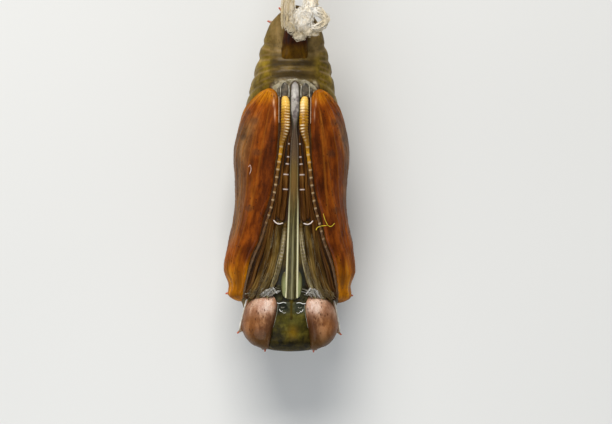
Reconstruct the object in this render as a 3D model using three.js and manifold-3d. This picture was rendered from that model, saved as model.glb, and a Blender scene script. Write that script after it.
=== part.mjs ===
// A butterfly chrysalis lying on its back, with the silk tuft it hung from.
// Millimetres. +Z is up, out of the chrysalis's belly, +Y runs from the head to the tail, and +X is its
// right side. The origin is on the surface it lies on, under the middle of its length.
// A station is a distance from the front of the head.

import * as THREE from "three";
import { mergeVertices } from "three/addons/utils/BufferGeometryUtils.js";
import Module from "manifold-3d";

const wasm = await Module();
wasm.setup();

// ---- Driving dimensions -------------------------------------------------------------------------

const HEAD_Y = -9.02; // where the front of the head lies: station 0
const BODY_LENGTH = 17.2; // stations run from 0 at the head to this at the tail

const HEAD_CAP = 0.5; // length over which the blunt head closes
const TAIL_CAP = 1.1; // length over which the tail closes

const WING_START = 2.62; // stations of the wing cases
const WING_END = 13.1;
const WING_RISE = 0.18; // how far a wing case stands out of the body
const WING_SINK = 0.35; // how deep its slab reaches into the body
const GROOVE_DEPTH = 0.085; // of the joints between the rings of the abdomen
const GROOVE_WIDTH = 0.16;

// Each profile is a list of [station, value]. Heights are above the surface it lies on.
const HALF_WIDTH = profile([
  [0, 1.75], [0.6, 2.08], [1.4, 2.24], [2.3, 2.34], [2.9, 2.72], [4.1, 2.97], [5.4, 2.86],
  [6.6, 2.62], [7.6, 2.55], [9.6, 2.7], [11.2, 2.52], [12.3, 2.28], [13.15, 2.1], [14.55, 1.79],
  [15.75, 1.43], [17.2, 0.95],
]);
const BELLY_Z = profile([
  [0, 4.55], [0.6, 4.85], [1.6, 5.02], [2.6, 5.1], [4, 5.25], [6, 5.42], [8, 5.5], [10, 5.42],
  [12, 5.2], [13.3, 4.92], [14.3, 4.72], [15.2, 4.68], [17.2, 4.75],
]);
const SIDE_Z = profile([
  [0, 3.9], [1.5, 3.6], [3, 3.25], [4.2, 3.05], [7, 2.95], [10, 2.85],
  [12, 2.9], [14, 3.2], [15.5, 3.7], [17.2, 4.35],
]);
const BACK_Z = profile([
  [0, 3.2], [0.6, 2.6], [1.5, 1.8], [2.5, 1.05], [3.4, 0.45], [4.1, 0.28], [5, 0.55], [6.1, 1],
  [7, 0.78], [8, 0.42], [9.3, 0.24], [10.5, 0.38], [11.8, 0.78], [13.2, 1.4], [14.5, 2.1],
  [15.6, 2.75], [16.5, 3.25], [17.2, 3.6],
]);
const BELLY_POWER = 2.35; // cross-section power of the belly: above 2 is flatter than an ellipse
const BACK_POWER = profile([[0, 2.1], [2.8, 1.85], [4.2, 1.75], [6.2, 2], [17.2, 2.05]]);

// The joints between rings: where each lies on the back, and where on the belly, which is curled up short.
const RINGS = [
  { back: 6.05, belly: 7.4 }, { back: 6.95, belly: 8.6 }, { back: 8, belly: 9.8 }, { back: 9.2, belly: 11 },
  { back: 10.5, belly: 12.3 }, { back: 11.9, belly: 13.62 }, { back: 13.2, belly: 14.16 },
  { back: 14.4, belly: 14.62 }, { back: 15.5, belly: 15 },
];

// The wing case's margins: the inner one by its distance from the belly's middle, the outer one by its angle.
const WING_INNER_X = profile([
  [2.62, 2.5], [3.05, 2.42], [4.05, 2.24], [4.8, 2.02], [5.55, 1.68], [6.75, 1.46], [7.3, 1.3], [8.1, 1.12],
  [9.25, 0.98], [10, 0.9], [11.5, 0.84], [12.4, 0.85], [12.8, 0.93], [12.97, 1.05], [13.06, 1.2],
]);
const WING_OUTER_DEG = profile([
  [2.62, 97], [3.4, 112], [5, 124], [7.5, 128], [9.5, 120], [11, 104],
  [12, 82], [12.5, 62], [12.9, 44], [13.06, 35],
]);
const WING_SWELL = profile([[2.62, 0.3], [3.35, 0.02], [4.05, 0.16], [5, 0.1], [8, 0.04], [13.5, 0]]);

// What lies along the belly, as paths of [distance from the middle, station] with radii at their ends.
const ANTENNA = {
  path: [
    [2.24, 2.7], [2.05, 4.1], [1.7, 5.1], [1.29, 6.4], [1, 7.5], [0.84, 8.5],
    [0.7, 9.6], [0.54, 10.65], [0.45, 11.2], [0.45, 12.2], [0.49, 12.6],
  ],
  shaft: 0.09,
  club: 0.24,
  clubStart: 0.74,
};
const FORELEG = { path: [[0.98, 2.75], [0.62, 3.8], [0.42, 5.2], [0.38, 6.4]], start: 0.16, end: 0.13 };
const MIDLEG = { path: [[1.5, 2.7], [1, 4.1], [0.82, 5.2], [0.7, 6.5]], start: 0.28, end: 0.2 };
const TARSUS = { path: [[0.55, 6.5], [0.41, 8], [0.34, 9.3], [0.26, 10.7]], start: 0.17, end: 0.09 };
const PROBOSCIS = { path: [[0, 2.2], [0, 5], [0, 8], [0, 11], [0, 13.35]], start: 0.28, end: 0.2 };
const PALP = { x: 0.35, station: 3.32, radii: [0.16, 0.55, 0.2] };

const EYE = { x: 1.55, station: 1.42, z: 4.13, radii: [0.88, 1.33, 1.14] };
// The ridge outside the eye, as [x, station, z].
const BROW = {
  path: [[2.1, 2.68, 4.3], [2.24, 2.2, 4.2], [2.4, 1.6, 4.05], [2.54, 1, 3.93]],
  radius: 0.11,
};
const SPIKE_BASE = 0.24; // radii of a spike, in the skin and at its blunt tip
const SPIKE_TIP = 0.07;
const HEAD_SPIKE = { x: 1.2, station: 0.16, z: 4.1, length: 0.19, direction: [0.06, -1, 0] };
const BROW_SPIKE = { x: 2.45, station: 0.98, z: 3.9, length: 0.2, direction: [1, -0.9, 0] };
const SHOULDER_SPIKE = { x: 2.95, station: 2.85, z: 3.3, length: 0.24, direction: [1, -0.2, 0] };

// The paired spikes of the back, by station and distance from the middle.
const BACK_SPIKES = [
  [1.9, 0.5], [4, 0.85], [5.3, 0.7], [6.5, 0.75], [7.5, 0.85], [8.6, 0.95],
  [9.85, 0.95], [11.2, 0.9], [12.55, 0.82], [13.8, 0.7], [14.95, 0.55], [16, 0.4],
];
const SPIKE_LENGTH = 0.27;
const STANDING_SPIKES = [4, 8.6, 9.85]; // stations of the pairs whose tips reach the surface

// The stalk that holds the silk leaves the belly's last rings at a slant, as [station, z] of its axis.
const CREMASTER = {
  root: [14.72, 4.3],
  tip: [16.5, 5.5],
  rootHalfWidth: 0.66,
  tipHalfWidth: 0.4,
  flatness: 0.56,
};

const SILK_GAP = 0.12; // kept clear round the stalk
// Lumps of the tuft, as [x, station, z, radii x, y, z].
const SILK_LUMPS = [
  [0, 16.35, 5.5, 0.76, 0.88, 0.62],
  [0.5, 15.74, 5.6, 0.52, 0.3, 0.36],
  [0.1, 15.62, 5.42, 0.45, 0.32, 0.42],
  [0.45, 17.15, 5.45, 0.55, 0.6, 0.52],
  [-0.4, 17.15, 5.4, 0.4, 0.76, 0.44],
  [0.2, 17.6, 5.4, 0.54, 0.48, 0.44],
];
const SILK_LOOP = [
  [0.6, 15.9, 5.7], [1.1, 16, 5.82], [1.5, 16.42, 5.82], [1.2, 16.86, 5.75], [0.6, 17.05, 5.65],
];
const SILK_LOOP_RADIUS = 0.13;

// ---- The skin -----------------------------------------------------------------------------------

// A smooth curve through [station, value] points, held level past its ends.
function profile(points) {
  const slope = points.map((p, i) => {
    const before = points[Math.max(i - 1, 0)];
    const after = points[Math.min(i + 1, points.length - 1)];
    const rise = (p[1] - before[1]) * (after[1] - p[1]);
    return rise <= 0 ? 0 : (after[1] - before[1]) / (after[0] - before[0]);
  });
  return (s) => {
    if (s <= points[0][0]) return points[0][1];
    const i = points.findIndex((p) => p[0] >= s);
    if (i < 0) return points[points.length - 1][1];
    const span = points[i][0] - points[i - 1][0];
    const t = (s - points[i - 1][0]) / span;
    const ease = t * t * (3 - 2 * t);
    return points[i - 1][1] * (1 - ease) + points[i][1] * ease
      + span * t * (1 - t) * ((1 - t) * slope[i - 1] - t * slope[i]);
  };
}

// How far the ends have closed at a station: 0 at the very end, 1 past the cap.
function capped(s) {
  const end = (distance, cap) => Math.sqrt(Math.max(0, 1 - Math.max(0, 1 - distance / cap) ** 2));
  return end(s, HEAD_CAP) * end(BODY_LENGTH - s, TAIL_CAP);
}

// How much of the back is in a direction round the body: 0 on the belly's middle, 1 on the back's.
const backness = (angle) => (1 - Math.cos(angle)) / 2;

// How deep the joints between rings are cut. The wing cases and the limbs between them cover the joints.
function grooveDepth(s, angle) {
  const margin = THREE.MathUtils.degToRad(WING_OUTER_DEG(s));
  const bare = s > WING_END ? 1 : THREE.MathUtils.smoothstep(Math.abs(angle), margin - 0.1, margin);
  return bare * RINGS.reduce((sum, ring) => {
    const away = (s - ring.belly - (ring.back - ring.belly) * backness(angle)) / GROOVE_WIDTH;
    return sum + GROOVE_DEPTH * Math.exp(-away * away);
  }, 0);
}

// A point of the body at a station and an angle, which is 0 on the belly and 180 degrees on the back.
function skin(s, angle, raised = 0) {
  const sine = Math.sin(angle);
  const cosine = Math.cos(angle);
  const power = cosine > 0 ? BELLY_POWER : BACK_POWER(s);
  const reach = capped(s);
  const height = (cosine > 0 ? BELLY_Z(s) - SIDE_Z(s) : SIDE_Z(s) - BACK_Z(s)) * reach;
  const width = HALF_WIDTH(s) * reach;
  const outward = raised - grooveDepth(s, angle) * reach;
  return new THREE.Vector3(
    Math.sign(sine) * Math.abs(sine) ** (2 / power) * width + sine * outward,
    HEAD_Y + s,
    SIDE_Z(s) + Math.sign(cosine) * Math.abs(cosine) ** (2 / power) * height + cosine * outward,
  );
}

// The angle at which the belly reaches a distance from its middle.
function angleAt(x, s) {
  const share = Math.min(1, Math.abs(x) / HALF_WIDTH(s));
  return Math.asin(share ** (BELLY_POWER / 2)) * Math.sign(x);
}

// A point of the belly's skin at a distance from its middle.
const belly = (x, s, raised = 0) => skin(s, angleAt(x, s), raised);

// ---- Solids -------------------------------------------------------------------------------------

function solidOf(geometry) {
  const bare = geometry.clone();
  bare.deleteAttribute("normal");
  bare.deleteAttribute("uv");
  const merged = mergeVertices(bare, 1e-4);
  return new wasm.Manifold(new wasm.Mesh({
    numProp: 3,
    vertProperties: new Float32Array(merged.attributes.position.array),
    triVerts: new Uint32Array(merged.index.array),
  }));
}

function geometryOf(solid) {
  const mesh = solid.getMesh();
  const geometry = new THREE.BufferGeometry();
  geometry.setAttribute("position", new THREE.BufferAttribute(mesh.vertProperties.slice(), 3));
  geometry.setIndex(new THREE.BufferAttribute(mesh.triVerts.slice(), 1));
  geometry.computeVertexNormals();
  return geometry;
}

// Moves every vertex of a geometry to where a function of its old place says.
function reshaped(geometry, place) {
  const position = geometry.attributes.position;
  const from = new THREE.Vector3();
  for (let i = 0; i < position.count; i++) {
    const to = place(from.fromBufferAttribute(position, i));
    position.setXYZ(i, to.x, to.y, to.z);
  }
  return geometry;
}

// The body: a sphere drawn out along the stations, whose rows follow the slanting rings.
function bodySolid() {
  const back = [0, ...RINGS.map((r) => r.back), BODY_LENGTH];
  const bellySide = [0, ...RINGS.map((r) => r.belly), BODY_LENGTH];
  const slanted = (q, angle) => {
    const i = Math.max(1, back.findIndex((b) => b >= q));
    const t = (q - back[i - 1]) / (back[i] - back[i - 1]);
    const onBelly = bellySide[i - 1] + (bellySide[i] - bellySide[i - 1]) * t;
    return onBelly + (q - onBelly) * backness(angle);
  };
  const sphere = new THREE.SphereGeometry(1, 34, 48);
  return solidOf(reshaped(sphere, (p) => {
    const turn = Math.acos(THREE.MathUtils.clamp(-p.y, -1, 1)) / Math.PI;
    const angle = Math.hypot(p.x, p.z) < 1e-6 ? 0 : Math.atan2(p.x, p.z);
    const q = turn * BODY_LENGTH;
    const station = turn < 1e-6 || turn > 1 - 1e-6 ? q : slanted(q, angle);
    return skin(station, angle);
  }));
}

// A wing case: a box bent round the side of the body, between its two margins.
function wingSolid(side) {
  const box = new THREE.BoxGeometry(1, 1, 1, 6, 20, 1);
  return solidOf(reshaped(box, (p) => {
    const s = WING_START + (p.y + 0.5) * (WING_END - WING_START);
    const inner = angleAt(WING_INNER_X(s), s);
    const outer = THREE.MathUtils.degToRad(WING_OUTER_DEG(s));
    const across = 0.5 + p.x * side;
    const crown = Math.sin(Math.PI * across);
    const raised = p.z > 0 ? WING_RISE * (0.6 + 0.4 * crown) + WING_SWELL(s) * crown : -WING_SINK;
    return skin(s, (inner + (outer - inner) * across) * side, raised);
  }));
}

// A closed tube of six sides along points.
function tube(points, radius, steps) {
  const round = new THREE.Shape().absarc(0, 0, radius, 0, 2 * Math.PI);
  const extrudePath = new THREE.CatmullRomCurve3(points);
  return new THREE.ExtrudeGeometry(round, { steps, extrudePath, bevelEnabled: false, curveSegments: 3 });
}

// A tube whose radius changes from end to end as a function of 0 to 1 says.
function taperedSolid(points, radiusAt, steps) {
  const even = new THREE.CatmullRomCurve3(points).getSpacedPoints(steps);
  const curve = new THREE.CatmullRomCurve3(even);
  const centres = curve.getSpacedPoints(steps);
  return solidOf(reshaped(tube(even, 1, steps), (p) => {
    const away = centres.map((c) => c.distanceTo(p));
    const nearest = away.indexOf(Math.min(...away));
    const out = p.clone().sub(centres[nearest]);
    return centres[nearest].clone().addScaledVector(out, radiusAt(nearest / steps));
  }));
}

// A limb lying along the belly, sunk to half its depth.
function limbSolid({ path, start, end }, side, steps = 8, radiusAt = (t) => start + (end - start) * t) {
  return taperedSolid(path.map(([x, s]) => belly(x * side, s)), radiusAt, steps);
}

function ball([x, y, z], [rx, ry, rz], around = 14, rows = 10) {
  const sphere = new THREE.SphereGeometry(1, around, rows);
  return solidOf(sphere.scale(rx, ry, rz).translate(x, y, z));
}

// A blunt spike that leaves a point of the skin in a direction and reaches a length beyond it.
function spikeSolid(root, direction, length) {
  const sunk = 0.2;
  const cone = new THREE.CylinderGeometry(SPIKE_TIP, SPIKE_BASE, length + sunk, 6);
  const up = new THREE.Vector3(0, 1, 0);
  cone.translate(0, (length - sunk) / 2, 0);
  cone.applyQuaternion(new THREE.Quaternion().setFromUnitVectors(up, direction.normalize()));
  return solidOf(cone.translate(root.x, root.y, root.z));
}

// The spikes of the back point straight away from it, apart from the pairs it stands on, which point down.
function backSpikes() {
  return BACK_SPIKES.flatMap(([s, x]) => [-1, 1].map((side) => {
    const angle = (Math.PI - Math.asin(Math.min(1, x / HALF_WIDTH(s)))) * side;
    const root = skin(s, angle);
    const out = root.clone().sub(skin(s, angle, -1));
    if (!STANDING_SPIKES.includes(s)) return spikeSolid(root, out, SPIKE_LENGTH);
    return spikeSolid(root, new THREE.Vector3(0, 0, -1), root.z);
  }));
}

// The stalk: a flattened cone from its root in the body to its blunt tip, grown by a margin all round.
function cremasterSolid(grown = 0) {
  const { root, tip, rootHalfWidth, tipHalfWidth, flatness } = CREMASTER;
  const [from, to] = [root, tip].map(([s, z]) => new THREE.Vector3(0, HEAD_Y + s, z));
  const length = from.distanceTo(to);
  const cone = new THREE.CylinderGeometry(tipHalfWidth, rootHalfWidth, length, 12);
  const across = 1 + grown / tipHalfWidth;
  const through = flatness + grown / tipHalfWidth;
  cone.scale(across, 1 + (2 * grown) / length, through);
  cone.rotateX(Math.atan2(to.z - from.z, to.y - from.y));
  const middle = from.add(to).divideScalar(2);
  return solidOf(cone.translate(middle.x, middle.y, middle.z));
}

// The tuft: lumps grown together, and a loop of threads at one side.
function silkSolid() {
  const lumps = SILK_LUMPS.map(([x, s, z, ...radii]) => ball([x, HEAD_Y + s, z], radii, 10, 7));
  const loop = SILK_LOOP.map(([x, s, z]) => new THREE.Vector3(x, HEAD_Y + s, z));
  const all = lumps.reduce((sum, lump) => sum.add(lump), solidOf(tube(loop, SILK_LOOP_RADIUS, 10)));
  return all.subtract(cremasterSolid(SILK_GAP));
}

// ---- The object ---------------------------------------------------------------------------------

const sides = [-1, 1];
const clubRadius = (t) => {
  const { shaft, club, clubStart } = ANTENNA;
  const swell = THREE.MathUtils.smoothstep(t, clubStart, clubStart + 0.16);
  return shaft + (club - shaft) * swell;
};

const at = ({ x, station, z }, side) => new THREE.Vector3(x * side, HEAD_Y + station, z);

const details = sides.flatMap((side) => [
  wingSolid(side),
  limbSolid(ANTENNA, side, 22, clubRadius),
  limbSolid(FORELEG, side),
  limbSolid(MIDLEG, side),
  limbSolid(TARSUS, side),
  ball(belly(PALP.x * side, PALP.station).toArray(), PALP.radii, 8, 8),
  ball(at(EYE, side).toArray(), EYE.radii, 16, 12),
  taperedSolid(BROW.path.map(([x, station, z]) => at({ x, station, z }, side)), () => BROW.radius, 5),
  ...[HEAD_SPIKE, BROW_SPIKE, SHOULDER_SPIKE].map((spike) => {
    const [dx, dy, dz] = spike.direction;
    return spikeSolid(at(spike, side), new THREE.Vector3(dx * side, dy, dz), spike.length);
  }),
]);

const chrysalisSolid = [...details, limbSolid(PROBOSCIS, 1, 12), ...backSpikes(), cremasterSolid()]
  .reduce((all, piece) => all.add(piece), bodySolid());

const cuticle = new THREE.MeshStandardMaterial({ color: 0x8a4a1c, roughness: 0.35, metalness: 0 });
const silk = new THREE.MeshStandardMaterial({ color: 0xe6ddcb, roughness: 0.85, metalness: 0 });

const chrysalis = new THREE.Mesh(geometryOf(chrysalisSolid), cuticle);
chrysalis.name = "chrysalis";

const silkTuft = new THREE.Mesh(geometryOf(silkSolid()), silk);
silkTuft.name = "silk_tuft";

const group = new THREE.Group();
group.add(chrysalis, silkTuft);

export default group;
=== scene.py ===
"""A butterfly chrysalis close to hatching, lying on its back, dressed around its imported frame.

Millimetres until a mesh is made. +Z is up, out of the belly, +Y runs from the head to the tail, and +X is the
chrysalis's right side. A station is a distance from the front of the head.
"""

import math

import bpy
import numpy as np
from mathutils import Matrix, Vector


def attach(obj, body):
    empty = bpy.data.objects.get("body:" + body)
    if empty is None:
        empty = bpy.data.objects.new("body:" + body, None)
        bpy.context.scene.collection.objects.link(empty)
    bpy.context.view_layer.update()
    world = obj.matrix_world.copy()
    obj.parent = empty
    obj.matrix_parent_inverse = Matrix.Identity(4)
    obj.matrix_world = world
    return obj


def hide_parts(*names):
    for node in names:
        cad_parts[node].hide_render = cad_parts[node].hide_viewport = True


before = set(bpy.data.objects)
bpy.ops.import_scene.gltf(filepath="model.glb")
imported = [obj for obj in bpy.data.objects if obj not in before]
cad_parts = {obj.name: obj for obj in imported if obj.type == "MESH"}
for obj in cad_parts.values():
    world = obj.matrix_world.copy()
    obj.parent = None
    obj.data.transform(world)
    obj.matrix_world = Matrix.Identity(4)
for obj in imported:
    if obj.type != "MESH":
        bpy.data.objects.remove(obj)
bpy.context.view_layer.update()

MM = 0.001

# ---- Driving dimensions, as in the frame's source ----

HEAD_Y = -9.02  # where the front of the head lies: station 0
BODY_LENGTH = 17.2
HEAD_CAP = 0.5  # length over which the blunt head closes
TAIL_CAP = 1.1
WING_START = 2.62
WING_TIP = 13.06  # where a wing ends under its case
WING_RISE = 0.18  # how far a wing case stands out of the body
GROOVE_DEPTH = 0.085  # of the joints between the rings of the abdomen
GROOVE_WIDTH = 0.16
BELLY_POWER = 2.35  # cross-section power of the belly: above 2 is flatter than an ellipse
SIDES = {"right": 1, "left": -1}


def profile(*points):
    """A smooth curve through (station, value) points, held level past its ends."""
    at, values = np.array(points, float).T
    before, after = np.r_[values[0], values[:-1]], np.r_[values[1:], values[-1]]
    spans = np.r_[at[1:], at[-1]] - np.r_[at[0], at[:-1]]
    climbs = (values - before) * (after - values) > 0
    slopes = np.where(climbs, (after - before) / spans, 0.0)

    def curve(s):
        s = np.clip(s, at[0], at[-1])
        i = np.clip(np.searchsorted(at, s) - 1, 0, len(at) - 2)
        span = at[i + 1] - at[i]
        t = (s - at[i]) / span
        ease = t * t * (3 - 2 * t)
        bend = (1 - t) * slopes[i] - t * slopes[i + 1]
        return values[i] * (1 - ease) + values[i + 1] * ease + span * t * (1 - t) * bend

    return curve


# Heights are above the surface it lies on.
HALF_WIDTH = profile(
    (0, 1.75), (0.6, 2.08), (1.4, 2.24), (2.3, 2.34), (2.9, 2.72), (4.1, 2.97), (5.4, 2.86), (6.6, 2.62),
    (7.6, 2.55), (9.6, 2.7), (11.2, 2.52), (12.3, 2.28), (13.15, 2.1), (14.55, 1.79), (15.75, 1.43),
    (17.2, 0.95),
)
BELLY_Z = profile(
    (0, 4.55), (0.6, 4.85), (1.6, 5.02), (2.6, 5.1), (4, 5.25), (6, 5.42), (8, 5.5), (10, 5.42),
    (12, 5.2), (13.3, 4.92), (14.3, 4.72), (15.2, 4.68), (17.2, 4.75),
)
SIDE_Z = profile(
    (0, 3.9), (1.5, 3.6), (3, 3.25), (4.2, 3.05), (7, 2.95), (10, 2.85), (12, 2.9), (14, 3.2), (15.5, 3.7),
    (17.2, 4.35),
)
BACK_Z = profile(
    (0, 3.2), (0.6, 2.6), (1.5, 1.8), (2.5, 1.05), (3.4, 0.45), (4.1, 0.28), (5, 0.55), (6.1, 1), (7, 0.78),
    (8, 0.42), (9.3, 0.24), (10.5, 0.38), (11.8, 0.78), (13.2, 1.4), (14.5, 2.1), (15.6, 2.75), (16.5, 3.25),
    (17.2, 3.6),
)
BACK_POWER = profile((0, 2.1), (2.8, 1.85), (4.2, 1.75), (6.2, 2), (17.2, 2.05))

# The joints between rings: where each lies on the back, and where on the belly, which is curled up short.
RINGS = (
    (6.05, 7.4), (6.95, 8.6), (8, 9.8), (9.2, 11), (10.5, 12.3), (11.9, 13.62), (13.2, 14.16), (14.4, 14.62),
    (15.5, 15),
)

# A wing's margins: the inner one by its distance from the belly's middle, the outer one by its angle.
WING_INNER_X = profile(
    (2.62, 2.36), (3.05, 2.3), (4.05, 2.16), (4.8, 1.96), (5.55, 1.63), (6.75, 1.4), (7.3, 1.24), (8.1, 1.05),
    (9.25, 0.9), (10, 0.83), (11.5, 0.77), (12.4, 0.79), (12.8, 0.88), (12.97, 1.02), (13.06, 1.2),
)
WING_OUTER_DEG = profile(
    (2.62, 97), (3.4, 112), (5, 124), (7.5, 128), (9.5, 120), (11, 104), (12, 82), (12.5, 62), (12.9, 44),
    (13.06, 35),
)
WING_SWELL = profile((2.62, 0.3), (3.35, 0.02), (4.05, 0.16), (5, 0.1), (8, 0.04), (13.5, 0))

ANTENNA_X = profile(
    (2.6, 2.3), (3.2, 2.24), (4.1, 2.05), (4.8, 1.82), (5.5, 1.54), (6.4, 1.29), (7, 1.11), (7.5, 1.0),
    (8.1, 0.9), (9.25, 0.755), (9.95, 0.655), (10.35, 0.615), (10.65, 0.54), (10.85, 0.49), (11.15, 0.445),
    (12.2, 0.445), (12.65, 0.49),
)
PROBOSCIS_HALF = profile(
    (2.4, 0.28), (3.1, 0.27), (5.5, 0.235), (7.5, 0.2), (8, 0.175), (9.5, 0.17), (10.25, 0.15), (11.1, 0.08),
    (11.6, 0.15), (12, 0.21), (12.8, 0.21), (13.25, 0.18), (13.45, 0.15),
)
EYE_INNER_X = profile((0.1, 1.05), (0.76, 0.95), (2.6, 0.64))
EYE_OUTER_X = profile(
    (0.1, 1.36), (0.33, 1.84), (0.58, 2.12), (0.82, 2.28), (1.07, 2.37), (1.32, 2.4), (1.57, 2.37),
    (1.82, 2.33), (2.07, 2.25), (2.3, 2.15), (2.53, 2.02), (2.7, 1.86), (2.84, 1.6), (2.95, 1.25),
)


# ---- The skin ----


def capped(s):
    """How far the ends have closed at a station: 0 at the very end, 1 past the cap."""

    def end(distance, cap):
        return np.sqrt(np.clip(1 - np.clip(1 - distance / cap, 0, None) ** 2, 0, None))

    return end(s, HEAD_CAP) * end(BODY_LENGTH - s, TAIL_CAP)


def backness(angle):
    """How much of the back is in a direction round the body: 0 on the belly's middle, 1 on the back's."""
    return (1 - np.cos(angle)) / 2


def smoothstep(value, low, high):
    """0 up to low, climbing smoothly to 1 at high."""
    t = np.clip((value - low) / (high - low), 0, 1)
    return t * t * (3 - 2 * t)


def fade(value, low, high):
    """1 up to low, falling smoothly to 0 at high."""
    return 1 - smoothstep(value, low, high)


def within(value, rise, full, fall, gone):
    """Climbs from 0 at rise to 1 at full, and falls again from fall to gone."""
    return smoothstep(value, rise, full) * fade(value, fall, gone)


def bell(value, middle, width):
    """1 at the middle, falling to 0 a few widths away."""
    return np.exp(-(((value - middle) / width) ** 2))


def plateau(distance):
    """1 about a middle, dropping steeply to 0 near a distance of 1."""
    return np.exp(-(distance**4))


def signed_power(value, power):
    """A power that keeps the value's sign."""
    return np.sign(value) * np.abs(value) ** power


def ring_distance(s, angle):
    """How far a point lies from each joint between rings, along the body."""
    return np.stack([s - belly - (back - belly) * backness(angle) for back, belly in RINGS])


def skin(s, angle, raised=0.0):
    """Points of the body, raised off its skin. The angle is 0 on the belly and pi on the back."""
    s, angle, raised = np.broadcast_arrays(*(np.asarray(a, float) for a in (s, angle, raised)))
    sine, cosine = np.sin(angle), np.cos(angle)
    power = np.where(cosine > 0, BELLY_POWER, BACK_POWER(s))
    reach = capped(s)
    height = np.where(cosine > 0, BELLY_Z(s) - SIDE_Z(s), SIDE_Z(s) - BACK_Z(s)) * reach
    wing_edge = np.radians(WING_OUTER_DEG(s))
    bare = np.where(s > WING_TIP, 1.0, smoothstep(np.abs(angle), wing_edge - 0.1, wing_edge))
    groove = bare * GROOVE_DEPTH * bell(ring_distance(s, angle), 0, GROOVE_WIDTH).sum(0)
    outward = raised - groove * reach
    x = signed_power(sine, 2 / power) * HALF_WIDTH(s) * reach + sine * outward
    z = SIDE_Z(s) + signed_power(cosine, 2 / power) * height + cosine * outward
    return np.stack([x, HEAD_Y + s, z], -1)


def angle_at(x, s):
    """The angle at which the belly reaches a distance from its middle."""
    share = np.clip(np.abs(x) / HALF_WIDTH(s), 0, 1)
    return np.arcsin(share ** (BELLY_POWER / 2)) * np.sign(x)


def belly(x, s, raised=0.0):
    """Points of the belly's skin at a distance from its middle."""
    return skin(s, angle_at(x, s), raised)


def outward(x, s):
    """The direction away from the body at points of the belly."""
    angle = angle_at(x, s)
    return np.stack([np.sin(angle), np.zeros_like(angle), np.cos(angle)], -1)


def rumple(points, size, seed):
    """Smooth noise from -1 to 1 at points, with bumps about one size across."""
    cells = 32
    lattice = np.random.default_rng(seed).uniform(-1, 1, (cells,) * 3)
    scaled = np.asarray(points) / size
    cell = np.floor(scaled).astype(int)
    t = scaled - cell
    t = t * t * (3 - 2 * t)
    total = 0
    for corner in np.ndindex(2, 2, 2):
        share = np.prod(np.where(np.array(corner) == 1, t, 1 - t), -1)
        i, j, k = np.moveaxis((cell + corner) % cells, -1, 0)
        total = total + share * lattice[i, j, k]
    return total


# ---- Meshes ----


def unit(vectors):
    """The same directions, one long."""
    return vectors / np.linalg.norm(vectors, axis=-1, keepdims=True)


def turns(count):
    """Angles spread evenly once round."""
    return np.linspace(0, 2 * np.pi, count, endpoint=False)


def spot(x, s, z, side=1):
    """A point by its distance from the middle on a side, its station and its height."""
    return np.array([x * side, HEAD_Y + s, z])


def spline(points, count):
    """Evenly drawn points of a smooth line through a few."""
    points = np.array(points, float)
    padded = np.vstack([2 * points[0] - points[1], points, 2 * points[-1] - points[-2]])
    t = np.linspace(0, len(points) - 1, count)
    i = np.minimum(t.astype(int), len(points) - 2)
    f = (t - i)[:, None]
    a, b, c, d = (padded[i + k] for k in range(4))
    return 0.5 * (2 * b + (c - a) * f + (2 * a - 5 * b + 4 * c - d) * f**2 + (3 * b - a - 3 * c + d) * f**3)


def tube(centres, across, out, up, sides=16, square=1.0):
    """Loops round a line: across and out are half its width and height at each centre, and up is its outside.

    A square below 1 makes the section boxier.
    """
    ahead = unit(np.gradient(centres, axis=0))
    beside = unit(np.cross(ahead, up))
    above = np.cross(beside, ahead)
    turn = turns(sides)[None, :, None]
    cosine, sine = signed_power(np.cos(turn), square), signed_power(np.sin(turn), square)
    across, out = (np.broadcast_to(r, len(centres))[:, None, None] for r in (across, out))
    return centres[:, None] + beside[:, None] * cosine * across + above[:, None] * sine * out


def rounded(t, ends=(0.1, 0.1)):
    """A size from 0 to 1 and back, with a round end over each share of the length."""
    first, last = (np.sqrt(1 - (1 - np.clip(u / end, 0, 1)) ** 2) for u, end in zip((t, 1 - t), ends))
    return np.maximum(first * last, 0.02)


def belly_line(points, radius, lift, count=60, sides=8, side=1):
    """A thin rod over the belly through (x, station) points."""
    line = spline([(x, s, 0) for x, s in points], count)
    x, s = line[:, 0] * side, line[:, 1]
    size = radius * rounded(np.linspace(0, 1, count), (0.12, 0.12))
    return tube(belly(x, s, lift), size, size, outward(x, s), sides)


def loft(loops):
    """Vertices and faces of a closed skin through rows of loops, with a fan over each end."""
    rows, cols = loops.shape[:2]
    vertices = np.vstack([loops.reshape(-1, 3), loops[0].mean(0), loops[-1].mean(0)])
    here = np.arange(cols)
    beside = np.roll(here, -1)
    first = (np.arange(rows - 1) * cols)[:, None]
    quads = np.stack([first + here, first + beside, first + cols + beside, first + cols + here], -1)
    quads = quads.reshape(-1, 4)
    last = (rows - 1) * cols
    start_cap = np.stack([beside, here, np.full(cols, rows * cols)], -1)
    end_cap = np.stack([last + here, last + beside, np.full(cols, rows * cols + 1)], -1)
    a, b, c, d = (vertices[quads[:, k]] for k in range(4))
    inside_out = np.einsum("ij,ij->i", a, np.cross(b, c) + np.cross(c, d)).sum() < 0
    step = -1 if inside_out else 1
    faces = [*quads[:, ::step].tolist(), *start_cap[:, ::step].tolist(), *end_cap[:, ::step].tolist()]
    return vertices, faces


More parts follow.
